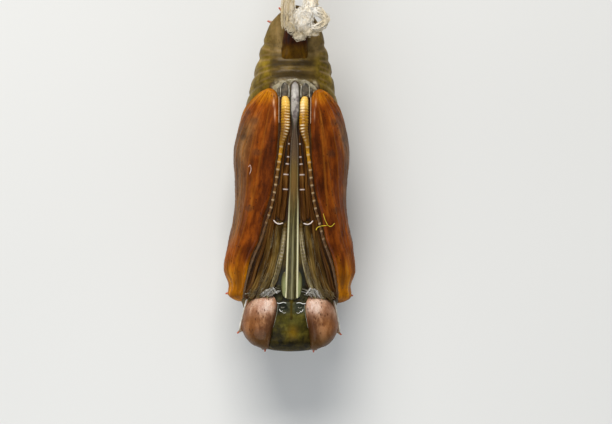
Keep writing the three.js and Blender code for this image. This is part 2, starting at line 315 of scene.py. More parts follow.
def piece(name, parts, material, replaces=()):
    """One object made of lofts. Each part is (loops, weights): weights hold values for the loops' points."""
    vertices, faces = [], []
    names = sorted({n for _, weights in parts for n in weights})
    values = {n: [] for n in names}
    for loops, weights in parts:
        made, corners = loft(loops)
        start = sum(map(len, vertices))
        faces += [[start + i for i in face] for face in corners]
        vertices.append(made)
        for n in names:
            rows = np.broadcast_to(weights.get(n, 0.0), loops.shape[:2])
            values[n] += [rows.ravel(), [rows[0].mean(), rows[-1].mean()]]
    mesh = bpy.data.meshes.new(name)
    mesh.from_pydata((np.vstack(vertices) * MM).tolist(), [], faces)
    for n in names:
        attribute = mesh.attributes.new(n, "FLOAT", "POINT")
        attribute.data.foreach_set("value", np.concatenate(values[n]).astype("f4"))
    return dressed(name, mesh, material, replaces)


def dressed(name, mesh, material, replaces=()):
    """A smooth object of a mesh, with its material, riding on the frame."""
    mesh.shade_smooth()
    mesh.materials.append(material)
    made = bpy.data.objects.new(name, mesh)
    bpy.context.scene.collection.objects.link(made)
    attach(made, "root")
    if replaces:
        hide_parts(*replaces)
    return made


# ---- Materials ----

CUTICLE_IOR = 1.45
HAIR_IOR = 1.5
PAPER_IOR = 1.5


def ink(red, green, blue):
    """A colour by its 0 to 255 screen values, as the shaders want it."""
    shares = (red / 255, green / 255, blue / 255)
    return (*(c / 12.92 if c <= 0.04045 else ((c + 0.055) / 1.055) ** 2.4 for c in shares), 1)


class Finish:
    """A material whose nodes are added one by one. Each method gives back the output of the node it adds.

    coat is the clear coat's weight and roughness. soft is the light that spreads under the skin: how much,
    how far in millimetres, and each colour's share of that.
    """

    def __init__(self, name, roughness, ior=CUTICLE_IOR, specular=0.5, sheen=0.0, coat=None, soft=None):
        self.material = bpy.data.materials.new(name)
        self.material.use_nodes = True
        self.tree = self.material.node_tree
        self.shader = self.tree.nodes["Principled BSDF"]
        settings = {"Roughness": roughness, "IOR": ior, "Specular IOR Level": specular, "Sheen Weight": sheen}
        if coat:
            settings |= {"Coat Weight": coat[0], "Coat Roughness": coat[1], "Coat IOR": CUTICLE_IOR}
        if soft:
            much, reach, *shares = soft
            settings |= {"Subsurface Weight": much, "Subsurface Scale": reach * MM}
            settings["Subsurface Radius"] = shares
        for socket, value in settings.items():
            self.shader.inputs[socket].default_value = value

    def add(self, kind, inputs, output=0, **settings):
        made = self.tree.nodes.new("ShaderNode" + kind)
        for setting, value in settings.items():
            setattr(made, setting, value)
        for socket, value in inputs.items():
            if isinstance(value, bpy.types.NodeSocket):
                self.tree.links.new(value, made.inputs[socket])
            else:
                made.inputs[socket].default_value = value
        return made.outputs[output]

    def weight(self, name):
        return self.add("Attribute", {}, "Fac", attribute_name=name)

    def place(self, *stretch):
        """Where a pattern is read, with each direction stretched: a small number draws the pattern out.

        Three numbers stretch the place in millimetres, and two the mesh's own weights named across and along.
        """
        if len(stretch) == 2:
            across, along = (self.times(self.weight(n), by) for n, by in zip(("across", "along"), stretch))
            return self.add("CombineXYZ", {0: across, 1: along})
        made = self.add("TexCoord", {}, "Object")
        return self.add("VectorMath", {0: made, 1: [by / MM for by in stretch]}, operation="MULTIPLY")

    def noise(self, stretch, detail=3.0, roughness=0.5, distortion=0.0, scale=1.0):
        sockets = {"Scale": scale, "Detail": detail, "Roughness": roughness, "Distortion": distortion}
        return self.add("TexNoise", {"Vector": self.place(*stretch), **sockets})

    def cells(self, stretch, scale):
        return self.add("TexVoronoi", {"Vector": self.place(*stretch), "Scale": scale}, "Distance")

    def ramp(self, factor, *stops):
        """A ramp through stops: each is a place with one grey from 0 to 1, or with three values for ink."""
        made = self.add("ValToRGB", {0: factor})
        elements = made.node.color_ramp.elements
        while len(elements) < len(stops):
            elements.new(0.5)
        for element, (position, *tone) in zip(elements, stops):
            element.position = position
            element.color = ink(*tone) if len(tone) == 3 else (*tone * 3, 1)
        return made

    def mix(self, factor, a, b):
        return self.add("Mix", {0: factor, 6: a, 7: b}, 2, data_type="RGBA")

    def tinted(self, pattern, base, /, **tints):
        """A base with other colours laid over it in turn, each by the mesh's own weight of that name.

        A colour is three values for ink, the stops of a ramp over the pattern, or a node's output.
        """
        colour = self.ramp(pattern, *base)
        for name, tint in tints.items():
            if isinstance(tint, tuple):
                tint = self.ramp(pattern, *tint) if isinstance(tint[0], tuple) else ink(*tint)
            colour = self.mix(self.weight(name), colour, tint)
        return colour

    def speckled(self, colour, tint, *shares):
        """A colour with a tint over it, as far as the product of two shares: patterns, weights or numbers."""
        return self.mix(self.times(*shares), colour, ink(*tint))

    def times(self, a, b):
        return self.add("Math", {0: a, 1: b}, operation="MULTIPLY")

    def plus(self, a, b):
        return self.add("Math", {0: a, 1: b}, operation="ADD")

    def blend(self, first, *others):
        """The sum of patterns, each given with its share."""
        share = self.times(*first)
        return self.plus(share, self.blend(*others)) if others else share

    def finished(self, colour, height=None, depth=0.0, strength=1.0):
        """The material in this colour, with relief by a pattern of height and a depth in millimetres."""
        self.tree.links.new(colour, self.shader.inputs["Base Color"])
        if height is not None:
            sockets = {"Strength": strength, "Distance": depth * MM, "Height": height}
            self.tree.links.new(self.add("Bump", sockets, "Normal"), self.shader.inputs["Normal"])
        return self.material


def wing_finish():
    made = Finish("wing_under_cuticle", 0.5, specular=0.06, coat=(0.1, 0.12), soft=(0.1, 0.15, 1.0, 0.5, 0.2))
    broad = made.noise((8, 0.4), detail=5, roughness=0.6, distortion=0.4)
    fine = made.noise((30, 1.0), roughness=0.6, distortion=0.3)
    blotches = made.noise((1.5, 0.8, 1.5), detail=5, roughness=0.6)
    colour = made.tinted(
        made.blend((broad, 0.42), (fine, 0.18), (blotches, 0.4)),
        ((0.4, 86, 36, 2), (0.5, 118, 53, 4), (0.6, 162, 82, 12)),
        faded=((0.42, 74, 52, 27), (0.5, 98, 73, 42), (0.58, 126, 98, 60)),
        shaded=((0.42, 50, 18, 1), (0.5, 78, 32, 3), (0.58, 114, 54, 8)),
        veins=(146, 84, 20),
        spots=(52, 38, 26),
        rim=(138, 118, 92),
        gleams=(226, 178, 140),
        amber=((0.41, 124, 72, 1), (0.5, 164, 98, 2), (0.59, 210, 140, 18)),
    )
    specks = made.ramp(made.cells((1, 0.7, 1), 6), (0.12, 1.0), (0.28, 0.0))
    patchy = made.ramp(made.noise((1.5, 1.5, 1.5)), (0.46, 0.0), (0.58, 0.7))
    relief = made.blend((broad, 0.6), (fine, 0.5), (specks, -0.2))
    return made.finished(made.speckled(colour, (48, 22, 6), specks, patchy), relief, 0.06, 0.6)


def body_finish():
    made = Finish("body_cuticle", 0.5, specular=0.1, coat=(0.1, 0.15), soft=(0.2, 0.3, 1.0, 0.7, 0.3))
    mottle = made.noise((1.3, 0.9, 1.3), detail=5, roughness=0.65)
    streaks = made.noise((9, 0.6), detail=5, roughness=0.65)
    rings = made.noise((2, 6, 2), detail=4)
    crumbs = made.noise((5, 5, 5))
    colour = made.tinted(
        mottle,
        ((0.34, 66, 50, 8), (0.5, 104, 84, 17), (0.66, 146, 120, 36)),
        trough=made.ramp(streaks, (0.38, 26, 14, 6), (0.52, 48, 29, 13), (0.64, 80, 56, 28)),
        olive=made.ramp(streaks, (0.38, 54, 42, 16), (0.52, 88, 74, 36), (0.64, 128, 112, 68)),
        # beside is painted shade between the antennae and the wing cases
        slate=(32, 36, 30),
        beside=(52, 25, 7),
        middle=made.ramp(rings, (0.35, 66, 50, 24), (0.65, 106, 84, 48)),
        bands=(38, 26, 8),
        tan=((0.34, 100, 80, 40), (0.66, 160, 132, 84)),
        joints=(152, 122, 84),
        thorax=((0.36, 52, 34, 12), (0.5, 80, 55, 23), (0.64, 120, 86, 42)),
        # face is painted shade on the front of the head
        face=((0.36, 24, 18, 2), (0.5, 40, 32, 6), (0.64, 76, 62, 20)),
        collar=made.ramp(crumbs, (0.36, 52, 44, 30), (0.52, 116, 104, 80), (0.68, 166, 154, 128)),
    )
    specks = made.ramp(made.cells((1, 1, 1), 6.5), (0.08, 1.0), (0.22, 0.0))
    patchy = made.ramp(made.noise((2, 2, 2)), (0.46, 0.0), (0.58, 0.75))
    relief = made.plus(mottle, made.blend((made.noise((11, 11, 11)), 0.4), (specks, -0.15)))
    return made.finished(made.speckled(colour, (44, 32, 14), specks, patchy), relief, 0.06, 0.6)


def limb_finish():
    made = Finish("leg_under_cuticle", 0.45, specular=0.06, coat=(0.07, 0.1), soft=(0.15, 0.1, 1.0, 0.7, 0.4))
    streaks = made.noise((9, 0.55), detail=5, roughness=0.65, distortion=0.3)
    colour = made.tinted(
        streaks,
        ((0.38, 50, 34, 8), (0.52, 80, 60, 21), (0.66, 122, 98, 50)),
        light=((0.4, 92, 78, 44), (0.52, 142, 128, 88), (0.64, 204, 194, 156)),
        dusk=((0.38, 50, 23, 2), (0.52, 70, 38, 7), (0.66, 98, 61, 20)),
        edge=(28, 16, 5),
        glint=(214, 198, 190),
    )
    return made.finished(colour, streaks, 0.05, 0.7)


def antenna_finish():
    softness = (0.25, 0.12, 1.0, 0.7, 0.3)
    made = Finish("antenna_under_cuticle", 0.4, specular=0.25, coat=(0.3, 0.12), soft=softness)
    grain = made.noise((9, 9, 9))
    colour = made.tinted(
        grain,
        ((0.35, 138, 92, 4), (0.6, 188, 134, 16)),
        olive=(112, 76, 8),
        shaft=(74, 43, 13),
        base=(84, 58, 30),
        cream=(242, 198, 92),
        glint=(255, 240, 206),
        seam=(110, 68, 6),
        # the shaft's joints get painted highlights
        tick=(172, 148, 112),
    )
    return made.finished(colour, grain, 0.02, 0.4)


def proboscis_finish():
    softness = (0.2, 0.1, 0.8, 1.0, 0.7)
    made = Finish("proboscis_under_cuticle", 0.38, specular=0.12, coat=(0.18, 0.1), soft=softness)
    streaks = made.noise((16, 1.2), detail=4, roughness=0.6)
    colour = made.tinted(
        streaks,
        ((0.35, 48, 42, 16), (0.6, 100, 92, 50)),
        violet=(74, 58, 47),
        tan=(108, 80, 38),
        tip=(176, 170, 162),
        dark=(24, 24, 16),
        rail=(204, 198, 160),
        palp=(134, 138, 94),
        pale=(214, 212, 204),
    )
    blots = made.ramp(made.noise((6, 4, 6)), (0.46, 0.0), (0.6, 1.0))
    colour = made.speckled(colour, (84, 74, 74), blots, made.weight("mottled"))
    return made.finished(colour, streaks, 0.03, 0.4)


def eye_finish():
    made = Finish("eye_under_cuticle", 0.5, specular=0.08, coat=(0.2, 0.14), soft=(0.15, 0.2, 1.0, 0.6, 0.4))
    clouds = made.noise((1.7, 0.8, 1.7), detail=5, roughness=0.65)
    colour = made.tinted(
        clouds,
        ((0.38, 66, 37, 18), (0.5, 112, 71, 43), (0.6, 172, 124, 84)),
        warm=(142, 88, 42),
        # pale is partly the eye's pinkish tone and partly a painted highlight
        pale=((0.38, 178, 124, 92), (0.5, 214, 166, 134), (0.6, 238, 206, 184)),
        # inner is painted shade where the eye meets the head plate
        inner=(68, 40, 18),
        low=(80, 54, 8),
        reddish=(176, 92, 56),
        # bright is a painted highlight on the upper eye
        bright=((0.4, 214, 172, 150), (0.58, 250, 232, 222)),
    )
    specks = made.ramp(made.cells((1, 0.45, 1), 8), (0.14, 1.0), (0.34, 0.0))
    scattered = made.ramp(made.noise((1, 1, 1), scale=2.4), (0.42, 0.0), (0.54, 0.85))
    facets = made.cells((1, 1, 1), 17)
    colour = made.speckled(colour, (66, 32, 16), specks, scattered)
    colour = made.speckled(colour, (92, 58, 38), facets, 0.35)
    return made.finished(colour, made.blend((facets, 0.7), (clouds, 0.6)), 0.03, 0.5)


def plate_finish():
    softness = (0.12, 0.2, 0.8, 1.0, 0.3)
    made = Finish("head_plate_cuticle", 0.55, specular=0.08, coat=(0.06, 0.12), soft=softness)
    mottle = made.noise((2.6, 2.0, 2.6), detail=5, roughness=0.65)
    colour = made.tinted(
        mottle,
        ((0.36, 36, 30, 3), (0.52, 62, 55, 10), (0.66, 92, 83, 28)),
        green=(84, 81, 34),
        yellow=(126, 92, 2),
        glass=((0.4, 20, 25, 21), (0.6, 64, 69, 58)),
        shaded=((0.4, 22, 17, 2), (0.62, 58, 48, 10)),
    )
    return made.finished(colour, mottle, 0.03, 0.4)


def pale_finish():
    softness = (0.3, 0.1, 1.0, 1.0, 0.9)
    made = Finish("clear_ridge_cuticle", 0.35, specular=0.15, coat=(0.2, 0.1), soft=softness)
    mottle = made.noise((4, 4, 4), detail=4, roughness=0.6)
    colour = made.tinted(
        mottle,
        ((0.35, 150, 146, 130), (0.65, 210, 206, 192)),
        bright=((0.35, 206, 206, 198), (0.65, 244, 242, 236)),
        haze=((0.35, 92, 82, 56), (0.65, 148, 136, 106)),
        dark=((0.4, 22, 16, 8), (0.58, 74, 58, 36)),
        skin=(124, 86, 56),
        warm=(168, 132, 104),
    )
    return made.finished(colour, mottle, 0.02, 0.4)


def hair_finish():
    made = Finish("leg_hair", 0.4, HAIR_IOR, specular=0.3, soft=(0.2, 0.05, 1.0, 0.9, 0.7))
    uneven = made.noise((5, 5, 5))
    base = (0.35, 78, 74, 62), (0.65, 118, 112, 94)
    olive = (0.35, 64, 48, 22), (0.65, 118, 98, 58)
    return made.finished(made.tinted(uneven, base, olive=olive, pale=(216, 213, 206)), uneven, 0.01, 0.3)


def spike_finish():
    made = Finish("spike_cuticle", 0.35, coat=(0.6, 0.15), soft=(0.3, 0.15, 1.0, 0.5, 0.3))
    mottle = made.noise((4, 4, 4))
    horn = (0.35, 96, 74, 42), (0.65, 140, 112, 70)
    return made.finished(made.tinted(mottle, horn, amber=(160, 96, 20), red=(176, 76, 42)), mottle, 0.02, 0.4)


def stalk_finish():
    made = Finish("stalk_cuticle", 0.42, specular=0.06, coat=(0.06, 0.12), soft=(0.15, 0.2, 1.0, 0.5, 0.1))
    ridges = made.noise((3, 1.2), detail=5, roughness=0.6)
    brown = (0.38, 64, 40, 2), (0.6, 98, 66, 6)
    burnt = (0.4, 34, 12, 2), (0.6, 66, 28, 6)
    return made.finished(made.tinted(ridges, brown, burnt=burnt), ridges, 0.05, 0.6)


def silk_finish():
    made = Finish("silk", 0.75, sheen=0.3, specular=0.25, soft=(0.15, 0.1, 1.0, 0.95, 0.88))
    grey = made.noise((2.5, 2.5, 2.5), detail=4)
    white = (0.35, 240, 234, 220), (0.55, 255, 253, 248)
    # hollow: painted shade on the matted lumps under the threads, and a darker tone on some threads
    # tan is partly a warm tone and partly painted shade towards the tuft's edges
    colour = made.tinted(grey, white, tan=(200, 180, 138), hollow=(230, 214, 186))
    return made.finished(colour, made.noise((22, 9, 22)), 0.04, 0.7)


def fibre_finish(name, low, high):
    made = Finish(name, 0.5)
    return made.finished(made.ramp(made.noise((6, 6, 6)), (0.35, *low), (0.65, *high)))


# ---- The body and its wings ----

END_GAP = 0.0012  # how far the first and last rows stay from the ends, where the skin closes to a point
FAN_RAYS = 4.5  # furrows of the belly on each side of its middle
BELLY_BANDS = ((13.52, 13.95), (14.17, 14.46), (14.62, 14.8))  # dark stretches of the abdomen's middle
SPIRACLE_ANGLE = math.radians(118)  # how far round from the belly's middle the breathing holes lie


def slanted(q, angle):
    """Stations whose rows follow the slanting joints of the rings: q on the back, and short on the belly."""
    back = np.r_[0, [b for b, _ in RINGS], BODY_LENGTH]
    front = np.r_[0, [b for _, b in RINGS], BODY_LENGTH]
    on_belly = np.interp(q, back, front)
    return on_belly + (q - on_belly) * backness(angle)


def body():
    """The skin from the head to the tail, with the trough between the wings and the rings of the abdomen."""
    rows, cols, crowded = 300, 192, 0.35  # crowded is how much the rows draw together at the ends
    q = np.linspace(0, 1, rows)
    q = (crowded * backness(np.pi * q) + (1 - crowded) * q)[:, None] * BODY_LENGTH
    angle = np.linspace(-np.pi, np.pi, cols, endpoint=False)[None, :]
    s = slanted(np.clip(q, END_GAP, BODY_LENGTH - END_GAP), angle)
    angle = np.broadcast_to(angle, s.shape)
    flat = skin(s, angle)
    x = flat[..., 0]
    aside = np.abs(x)
    on_belly = fade(np.abs(angle), 1.3, 1.6)
    between_wings = fade(aside, WING_INNER_X(s) - 0.02, WING_INNER_X(s) + 0.1) * on_belly
    trough = between_wings * within(s, 2.3, 2.7, 13.1, 13.4)
    fan = x / ANTENNA_X(s)
    furrows = np.cos(2 * np.pi * fan * FAN_RAYS) * 0.012 * trough
    tail = smoothstep(s, 13.2, 13.6)
    gone_round = smoothstep(np.abs(x + 0.04), 0.85, 1.35)
    dark = sum(within(s, a - 0.08, a + 0.08, b - 0.08, b + 0.08) for a, b in BELLY_BANDS)
    worn = (0.65 + 0.2 * rumple(flat, 0.5, 8)) * (1 - 0.6 * smoothstep(s, 14.5, 14.7))
    bands = dark * worn * (1 - gone_round) * on_belly
    nearest = np.abs(ring_distance(s, angle)).min(0)
    beside_ring = bell(nearest, 0.13, 0.05) * np.clip(tail + backness(angle), 0, 1) * (1 - between_wings)
    spots = spiracles(s, angle)
    grains = 0.03 * rumple(flat, 0.9, 3) + 0.012 * rumple(flat, 0.3, 4) + 0.007 * rumple(flat, 0.13, 5)
    loops = skin(s, angle, grains * capped(s) * (1 - 0.8 * trough) + furrows - 0.03 * spots)
    weights = {
        "trough": trough,
        # beside: painted shade in the gap between each antenna and its wing case
        "beside": trough * smoothstep(np.abs(fan), 0.98, 1.12) * 0.85,
        "slate": trough * fade(s, 3.8, 4.6) * fade(aside, 0.6, 0.8) * 0.9,
        "olive": trough * fade(aside, 0.4, 0.55) * within(s, 3.7, 4.5, 6.2, 6.6) * 0.9,
        "bands": np.clip(bands + 0.7 * spots, 0, 1),
        "joints": beside_ring * (0.35 + 0.5 * on_belly * (1 - gone_round)),
        "tan": on_belly * bell(aside, 0.95, 0.4) * within(s, 14.5, 14.9, 16, 16.8) * 0.85,
        "thorax": fade(s, 5.4, 6.4) * smoothstep(np.abs(angle), 1.4, 1.9) * 0.8,
        # face: painted shade, the front of the head darker where it turns away from the light
        "face": fade(s, 0.5, 1.1) * 0.85,
        "collar": within(s, 12.5, 12.9, 13.3, 13.6) * fade(aside, 1.0, 1.25) * on_belly,
        "middle": (1 - gone_round) * on_belly * tail * 0.7,
        "across": fan * 1.2,
        "along": s,
    }
    return piece("body", [(loops, weights)], body_finish(), replaces=["chrysalis"])


def spiracles(s, angle):
    """The breathing holes: a small oval on each side of every ring, in the middle of its length."""
    share = backness(SPIRACLE_ANGLE)
    radian, length, width = 2.4, 0.15, 0.09  # millimetres that a radian spans there, and a hole's size
    found = 0
    for ring, next_ring in zip(RINGS[1:], RINGS[2:]):
        start, end = (front + (back - front) * share for back, front in (ring, next_ring))
        round_by = (np.abs(angle) - SPIRACLE_ANGLE) * radian
        found = found + plateau(np.hypot((s - (start + end) / 2) / length, round_by / width))
    return found


WING_SPOTS = ((1.75, 9.85, 0.2), (2.02, 7.08, 0.17), (1.85, 11.4, 0.2), (2.1, 11.85, 0.13), (2.3, 10.6, 0.15))
VEINS = (0.16, 0.3, 0.42, 0.55, 0.68, 0.82)  # where veins meet the wing's end, as shares of the way across
WING_UNDERSIDE = -0.12  # how deep a wing case's underside lies in the body
WING_RADIAN = 2.2  # millimetres of skin that a radian spans near a wing's outer margin
WING_LOBE = 0.2  # how far the shoulder's rounded edge reaches forward of the wing's start


def wing_case(side):
    """A closed slab bent round the side: its top runs from margin to margin, and its underside runs back."""
    rows, top, under = 280, 130, 12
    v = np.linspace(0, 1, rows)[:, None]
    across = np.r_[np.linspace(0, 1, top) ** 1.15, np.linspace(1, 0, under + 2)[1:-1]][None, :]
    on_top = np.r_[np.ones(top), np.zeros(under)][None, :]
    start = WING_START - WING_LOBE * np.sin(np.pi * np.clip(across / 0.75, 0, 1))
    s = start + v * (WING_TIP - start)
    across = np.broadcast_to(across, s.shape)
    inner = angle_at(WING_INNER_X(s), s)
    outer = np.radians(WING_OUTER_DEG(s))
    angle = inner + (outer - inner) * across
    x = np.abs(skin(s, angle)[..., 0])
    crown = np.sin(np.pi * across)
    edge = rounded(across, (0.045, 0.06)) * rounded(v, (0.03, 0.02))
    veins = 0
    for share in VEINS:
        line = 0.3 + (share - 0.3) * smoothstep(v, -0.15, 0.75)
        veins = veins + bell(across, line, 0.011) * within(v, 0.03, 0.12, 0.88, 0.97)
    plan = np.stack([across * 4, s * 0.5, np.full(s.shape, side + 2.0)], -1)
    folds = 0.045 * rumple(plan, 0.55, 11) + 0.02 * rumple(plan, 0.22, 12)
    folds = folds + 0.008 * rumple(plan * [1, 3, 1], 0.11, 13)
    raised = WING_RISE * (0.6 + 0.4 * crown) + WING_SWELL(s) * crown + folds * np.sqrt(crown) + 0.02 * veins
    raised = WING_UNDERSIDE + (raised - WING_UNDERSIDE) * edge * on_top
    loops = skin(s, angle * side, raised)

    right = side > 0
    spots = sum(plateau(np.hypot(x - sx, s - ss) / r) for sx, ss, r in WING_SPOTS) * (angle < np.pi / 2)
    from_end = np.minimum(WING_TIP - s, (outer - angle) * WING_RADIAN)
    ragged = s + 0.5 * rumple(plan * [1, 0.5, 1], 0.25, 14)
    ends = fade(from_end, 0.15, 1.0) * smoothstep(s, 10.5, 12) * (0.55 if right else 0.8)
    gleams = bell(x, 0.99, 0.035) * bell(s, 12.36, 0.17) + bell(x, 0.94, 0.03) * bell(s, 11.78, 0.26) * 0.8
    streak = bell(x, 1.2 + 0.085 * (12 - s), 0.05) if right else bell(x, 1.9, 0.06) * bell(s, 7.4, 1.2)
    streak = streak * within(s, 6.2, 7.5, 11.6, 12.2) * on_top
    fading = (0.3, 0.56) if right else (0.17, 0.45)
    weights = {
        "across": across,
        "along": s,
        "veins": np.clip(0.4 * veins + 0.55 * streak, 0, 1),
        "shaded": fade(across, 0.08, 0.36) * within(s, 3.4, 5.2, 11.0, 12.4) * 0.85,
        "faded": smoothstep(across, *fading) * within(s, 4.6, 6.2, 10.8, 12.2) * 0.78,
        "gleams": gleams * on_top * (0.45 if right else 0.85),
        "amber": np.clip(fade(ragged, 3.2, 5.0) * 0.95 + ends, 0, 1),
        "spots": np.clip(spots, 0, 1) * 0.5,
        "rim": bell(across, 0.66, 0.07) * bell(s, 5.3, 1.5) * 0.5,
    }
    return loops, weights


def wings():
    wing_skin = wing_finish()
    for name, side in SIDES.items():
        piece("wing_case_" + name, [wing_case(side)], wing_skin)


# ---- Limbs ----


def limb(side, start, end, middle, half_width, height, rows=120, sides=20, lift=0.0, ends=(0.04, 0.04)):
    """A flattened rod along the belly, with the station and the turn of each of its points.

    Its middle, half-width and height are functions of the station.
    """
    t = np.linspace(0, 1, rows)
    s = start + (end - start) * t
    x = middle(s) * side
    size = rounded(t, ends)
    loops = tube(belly(x, s, lift), half_width(s) * size, height(s) * size, outward(x, s), sides)
    turn = np.broadcast_to(turns(sides), loops.shape[:2])
    station = np.broadcast_to(s[:, None], loops.shape[:2])
    return loops, station, turn


def antenna(side):
    """A shaft with a joint every shaft_joint, then a club with one every club_joint and a pale round tip."""
    shaft_joint, club_joint = 0.375, 0.14
    size = profile(
        (2.6, 0.075), (6.4, 0.072), (8, 0.078), (9.5, 0.092), (10.1, 0.1), (10.5, 0.15), (10.9, 0.2),
        (11.4, 0.23), (12.1, 0.222), (12.35, 0.21), (12.65, 0.16),
    )

    def joint(s):
        return np.cos(2 * np.pi * (s - 0.02) / shaft_joint)

    def ring(s):
        return np.cos(2 * np.pi * s / club_joint)

    def half_width(s):
        share = smoothstep(s, 10.2, 10.8)
        return size(s) * (1 + 0.13 * joint(s) * (1 - share) * fade(s, 9.6, 10) + 0.032 * ring(s) * share)

    def height(s):
        return half_width(s) * 0.9

    loops, s, turn = limb(side, 2.66, 12.66, ANTENNA_X, half_width, height, 840, 18, 0.03, (0.01, 0.014))
    club = smoothstep(s, 10.2, 10.7)
    top = smoothstep(np.sin(turn), 0.3, 0.8)
    inward = smoothstep(-np.cos(turn) * side, -0.1, 0.5)
    uneven = 0.5 + 0.5 * rumple(loops, 0.3, 31)
    glints = bell(s, 11.3, 0.6) * smoothstep(ring(s), 0.1, 0.8) * smoothstep(uneven, 0.35, 0.6) * 0.9
    if side > 0:
        glints = glints + bell(s, 12.1, 0.3) * 0.5
    # Painted highlights on the tops of the shaft's joints.
    joint_glints = smoothstep(joint(s), 0.6, 0.97) * within(s, 5.3 - 0.5 * side, 7 - 0.6 * side, 10.2, 10.5)
    seams = smoothstep(-ring(s), 0.2, 0.95) * (1 - 0.85 * smoothstep(s, 11.8, 12.3)) * (0.45 + 0.5 * uneven)
    weights = {
        "shaft": fade(s, 8.6, 10.0) * 0.9,
        "base": fade(s, 5.6, 7.4) * 0.85,
        "tick": joint_glints * top * 0.8,
        "cream": smoothstep(s, 11.75, 12.3) * 0.7,
        "glint": np.clip(glints * inward * top, 0, 1),
        "olive": np.clip(within(s, 9.7, 10.4, 10.8, 11.5) * 0.75 + club * (1 - inward) * top * 0.25, 0, 1),
        "seam": club * seams,
    }
    return loops, weights


TARSUS_JOINTS = (8.05, 8.78, 9.3, 9.65, 10.29)
FAN = (  # how far from the belly's middle the legs run: the inner edge, then fore, middle, hind and outer
    profile((2.7, 0.92), (3.3, 0.76), (4.0, 0.56), (4.8, 0.38), (5.3, 0.32), (6.4, 0.28)),
    profile((2.7, 1.14), (3.3, 0.94), (4.0, 0.72), (4.8, 0.54), (5.3, 0.46), (6.4, 0.39)),
    profile((2.7, 1.56), (3.3, 1.3), (4.2, 1.0), (5.2, 0.84), (6.4, 0.7)),
    profile((2.7, 1.94), (3.3, 1.68), (4.2, 1.38), (5.2, 1.16), (6.4, 1.0), (7.4, 0.84), (8.3, 0.74)),
    profile((2.7, 2.2), (3.3, 1.98), (4.2, 1.74), (5.2, 1.42), (6.4, 1.15)),
)
TARSUS_HALF = profile(
    (6.5, 0.15), (8.05, 0.14), (8.8, 0.15), (9.3, 0.1), (9.65, 0.075), (10.3, 0.05), (10.7, 0.04),
)
TARSUS_X = profile(
    (6.4, 0.55), (7.4, 0.46), (8.05, 0.41), (8.8, 0.39), (9.3, 0.335), (9.65, 0.3), (10.3, 0.27),
    (10.7, 0.25),
)


def legs(side):
    """The parts of the three legs that show: forelegs by the proboscis, then the middle and hind ones."""
    parts = []

    def add(rod, **weights):
        loops, s, turn = rod
        away = loops - loops.mean(1, keepdims=True)
        grooved = 0.045 * np.cos(turn * 9 + 2 * len(parts)) + 0.08 * rumple(loops, 0.25, 51)
        weights["across"] = np.cos(turn) * 0.12 + len(parts) * 0.7
        weights["along"] = s
        weights["edge"] = smoothstep(np.abs(np.cos(turn)), 0.8, 0.99) * 0.55
        parts.append((loops + away * grooved[..., None], weights))

    size = profile((2.7, 0.1), (3.6, 0.15), (6.4, 0.11))
    fore = limb(side, 2.6, 6.4, FAN[1], size, profile((2.7, 0.14), (6.4, 0.13)), 160, 28)
    _, s, turn = fore
    beads = smoothstep(np.cos(2 * np.pi * s / 0.17), 0.4, 0.95) * bell(s, 5.0, 0.8) * 0.4
    streak = 0.85 * fade(s, 5.6, 6.3) * smoothstep(np.sin(turn), 0.0, 0.5)
    add(fore, glint=beads * smoothstep(np.sin(turn), 0.6, 0.9), light=streak)

    size = profile((2.7, 0.2), (3.4, 0.26), (4.5, 0.22), (6.3, 0.22))
    middle = limb(side, 2.6, 6.5, FAN[2], size, profile((2.7, 0.18), (4.5, 0.2), (6.5, 0.16)), 160, 34)
    _, s, turn = middle
    add(middle, light=fade(s, 2.9, 4.0) * 0.3, dusk=bell(np.cos(turn) * side, 0.7, 0.3) * 0.6)

    size = profile((2.7, 0.24), (4, 0.2), (5.5, 0.16), (6.6, 0.12), (8.3, 0.06))
    hind = limb(side, 2.6, 8.3, FAN[3], size, profile((2.7, 0.14), (5, 0.14), (8.3, 0.06)), 160, 28)
    add(hind, dusk=0.35 + 0.55 * smoothstep(hind[1], 5.2, 6.6))

    size = profile((2.7, 0.14), (6.6, 0.08))
    add(limb(side, 2.6, 6.6, FAN[4], size, profile((2.7, 0.1), (6.6, 0.07)), 100, 24), dusk=0.8)

    tarsus = limb(side, 6.45, 10.75, TARSUS_X, TARSUS_HALF, profile((6.5, 0.1), (10.6, 0.09)), 320, 22)
    _, s, turn = tarsus
    joints = sum(bell(s, at, 0.026) for at in TARSUS_JOINTS)
    add(tarsus, glint=joints * smoothstep(np.sin(turn), 0.35, 0.7) * 0.8, dusk=0.85)

    second_x = profile((6.6, 0.74), (8, 0.64), (9.5, 0.54), (10.5, 0.42), (11.2, 0.2))
    size = profile((6.6, 0.1), (11, 0.05))
    add(limb(side, 6.6, 11.0, second_x, size, profile((6.6, 0.08), (11, 0.06)), 160), dusk=0.9)

    crescent = ((0.92, 6.53), (0.81, 6.4), (0.66, 6.34), (0.47, 6.39))
    parts.append((belly_line(crescent, 0.03, 0.19, side=side), {"glint": 0.95}))
    return parts


def rail(side):
    """One of the two pale tubes at the edges of the proboscis."""
    thick = profile((2.6, 0.05), (5, 0.047), (8, 0.035), (10, 0.028), (13.4, 0.03))

    def height(s):
        return thick(s) * 1.3

    loops, s, turn = limb(side, 2.68, 13.3, PROBOSCIS_HALF, thick, height, 340, 14, 0.1, (0.005, 0.005))
    weights = {
        "across": np.cos(turn) * 0.05 + side,
        "along": s,
        "rail": 1 - smoothstep(s, 5.5, 8.4) * 0.95,
        "tan": bell(s, 8.0, 1.1) * 0.6,
        "violet": smoothstep(s, 8.6, 9.6),
        "dark": smoothstep(s, 10.6, 11.4) * 0.9,
    }
    return loops, weights


